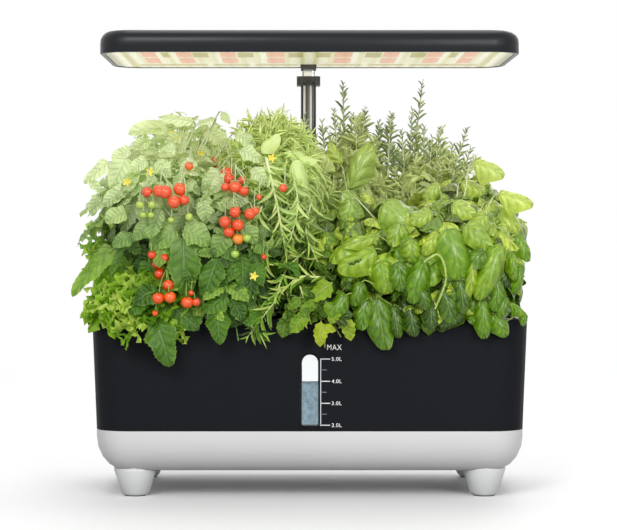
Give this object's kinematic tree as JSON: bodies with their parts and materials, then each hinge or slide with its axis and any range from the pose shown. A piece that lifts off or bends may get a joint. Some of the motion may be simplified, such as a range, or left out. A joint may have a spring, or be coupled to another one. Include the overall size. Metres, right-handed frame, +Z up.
{
  "type": "countertop hydroponic garden",
  "caption": "Planted countertop water garden: water tank on four feet, deck with net baskets, pump, and a light panel on a sliding post.",
  "frame": {"origin": "on the table, under the middle of the tank", "axes": "+X to the viewer's right along the long side, +Y to the back, +Z up"},
  "size_m": [0.348, 0.2189, 0.3673],
  "materials": {
    "base_grey": "satin",
    "foot_grey": "satin",
    "pad_rubber": "matte",
    "tank_black": "satin",
    "seal_rubber": "matte",
    "window_clear": "gloss",
    "gauge_white": "satin",
    "deck_black": "satin",
    "bright_steel": "polished",
    "post_chrome": "polished",
    "rail_chrome": "polished",
    "collar_black": "satin",
    "inner_black": "satin",
    "panel_black": "gloss",
    "led_board_aluminium": "satin",
    "diffuser_frost": "satin",
    "circuit_green": "satin",
    "button_black": "satin",
    "impeller_white": "satin",
    "basket_black": "satin",
    "lettuce_leaf": "satin",
    "tomato_leaf": "satin",
    "mint_leaf": "satin",
    "basil_leaf": "satin",
    "herb_leaf": "satin",
    "rosemary_leaf": "satin"
  },
  "bodies": {
    "garden": {"base_shell": "base_grey", "foot_front_left": "foot_grey", "foot_rear_left": "foot_grey", "foot_front_right": "foot_grey", "foot_rear_right": "foot_grey", "foot_pad_front_left": "pad_rubber", "foot_pad_rear_left": "pad_rubber", "foot_pad_front_right": "pad_rubber", "foot_pad_rear_right": "pad_rubber", "tank": "tank_black", "window_gasket": "seal_rubber", "window_pane": "window_clear", "gauge_channel": "gauge_white", "deck": "deck_black", "flap_hinge_pin": "bright_steel", "post_socket": "inner_black", "post_tube": "post_chrome", "post_collar": "collar_black", "pump_body": "inner_black", "pump_intake_cover": "inner_black", "pump_outlet": "inner_black", "net_basket_1": "basket_black", "net_basket_2": "basket_black", "net_basket_3": "basket_black", "net_basket_4": "basket_black", "net_basket_5": "basket_black", "net_basket_6": "basket_black", "net_basket_7": "basket_black", "net_basket_8": "basket_black", "net_basket_9": "basket_black", "net_basket_10": "basket_black", "net_basket_11": "basket_black", "net_basket_12": "basket_black", "plant_lettuce": "lettuce_leaf", "plant_tomato_front": "tomato_leaf", "plant_mint": "mint_leaf", "plant_basil_front": "basil_leaf", "plant_tomato_left": "tomato_leaf", "plant_savory": "herb_leaf", "plant_basil_middle": "basil_leaf", "plant_basil_right": "basil_leaf", "plant_tomato_rear": "tomato_leaf", "plant_rosemary_left": "rosemary_leaf", "plant_rosemary_centre": "rosemary_leaf", "plant_rosemary_right": "rosemary_leaf"},
    "lamp": {"post_rail": "rail_chrome", "rail_plug": "inner_black", "panel_bracket": "collar_black", "panel_housing": "panel_black", "led_board": "led_board_aluminium", "light_diffuser": "diffuser_frost", "control_board": "circuit_green", "power_inlet": "inner_black"},
    "power_button": {"power_button": "button_black"},
    "mode_button": {"mode_button": "button_black"},
    "fill_flap": {"fill_flap": "deck_black"},
    "impeller": {"pump_impeller": "impeller_white"}
  },
  "joints": [
    {"name": "lamp_height", "type": "slide", "parent": "garden", "child": "lamp", "axis": [0, 0, 1], "range_m": [-0.004, 0.15]},
    {"name": "fill_flap_hinge", "type": "hinge", "parent": "garden", "child": "fill_flap", "pos_m": [0.1607, 0, 0.1406], "axis": [0, 1, 0], "range_deg": [0, 100]},
    {"name": "power_button_press", "type": "slide", "parent": "lamp", "child": "power_button", "axis": [0, 0, -1], "range_m": [0, 0.0006], "stiffness_N_per_m": 800},
    {"name": "mode_button_press", "type": "slide", "parent": "lamp", "child": "mode_button", "axis": [0, 0, -1], "range_m": [0, 0.0006], "stiffness_N_per_m": 800},
    {"name": "impeller_spin", "type": "hinge", "parent": "garden", "child": "impeller", "pos_m": [0.0785, -0.002, 0.0417], "axis": [1, 0, 0], "continuous": true}
  ]
}
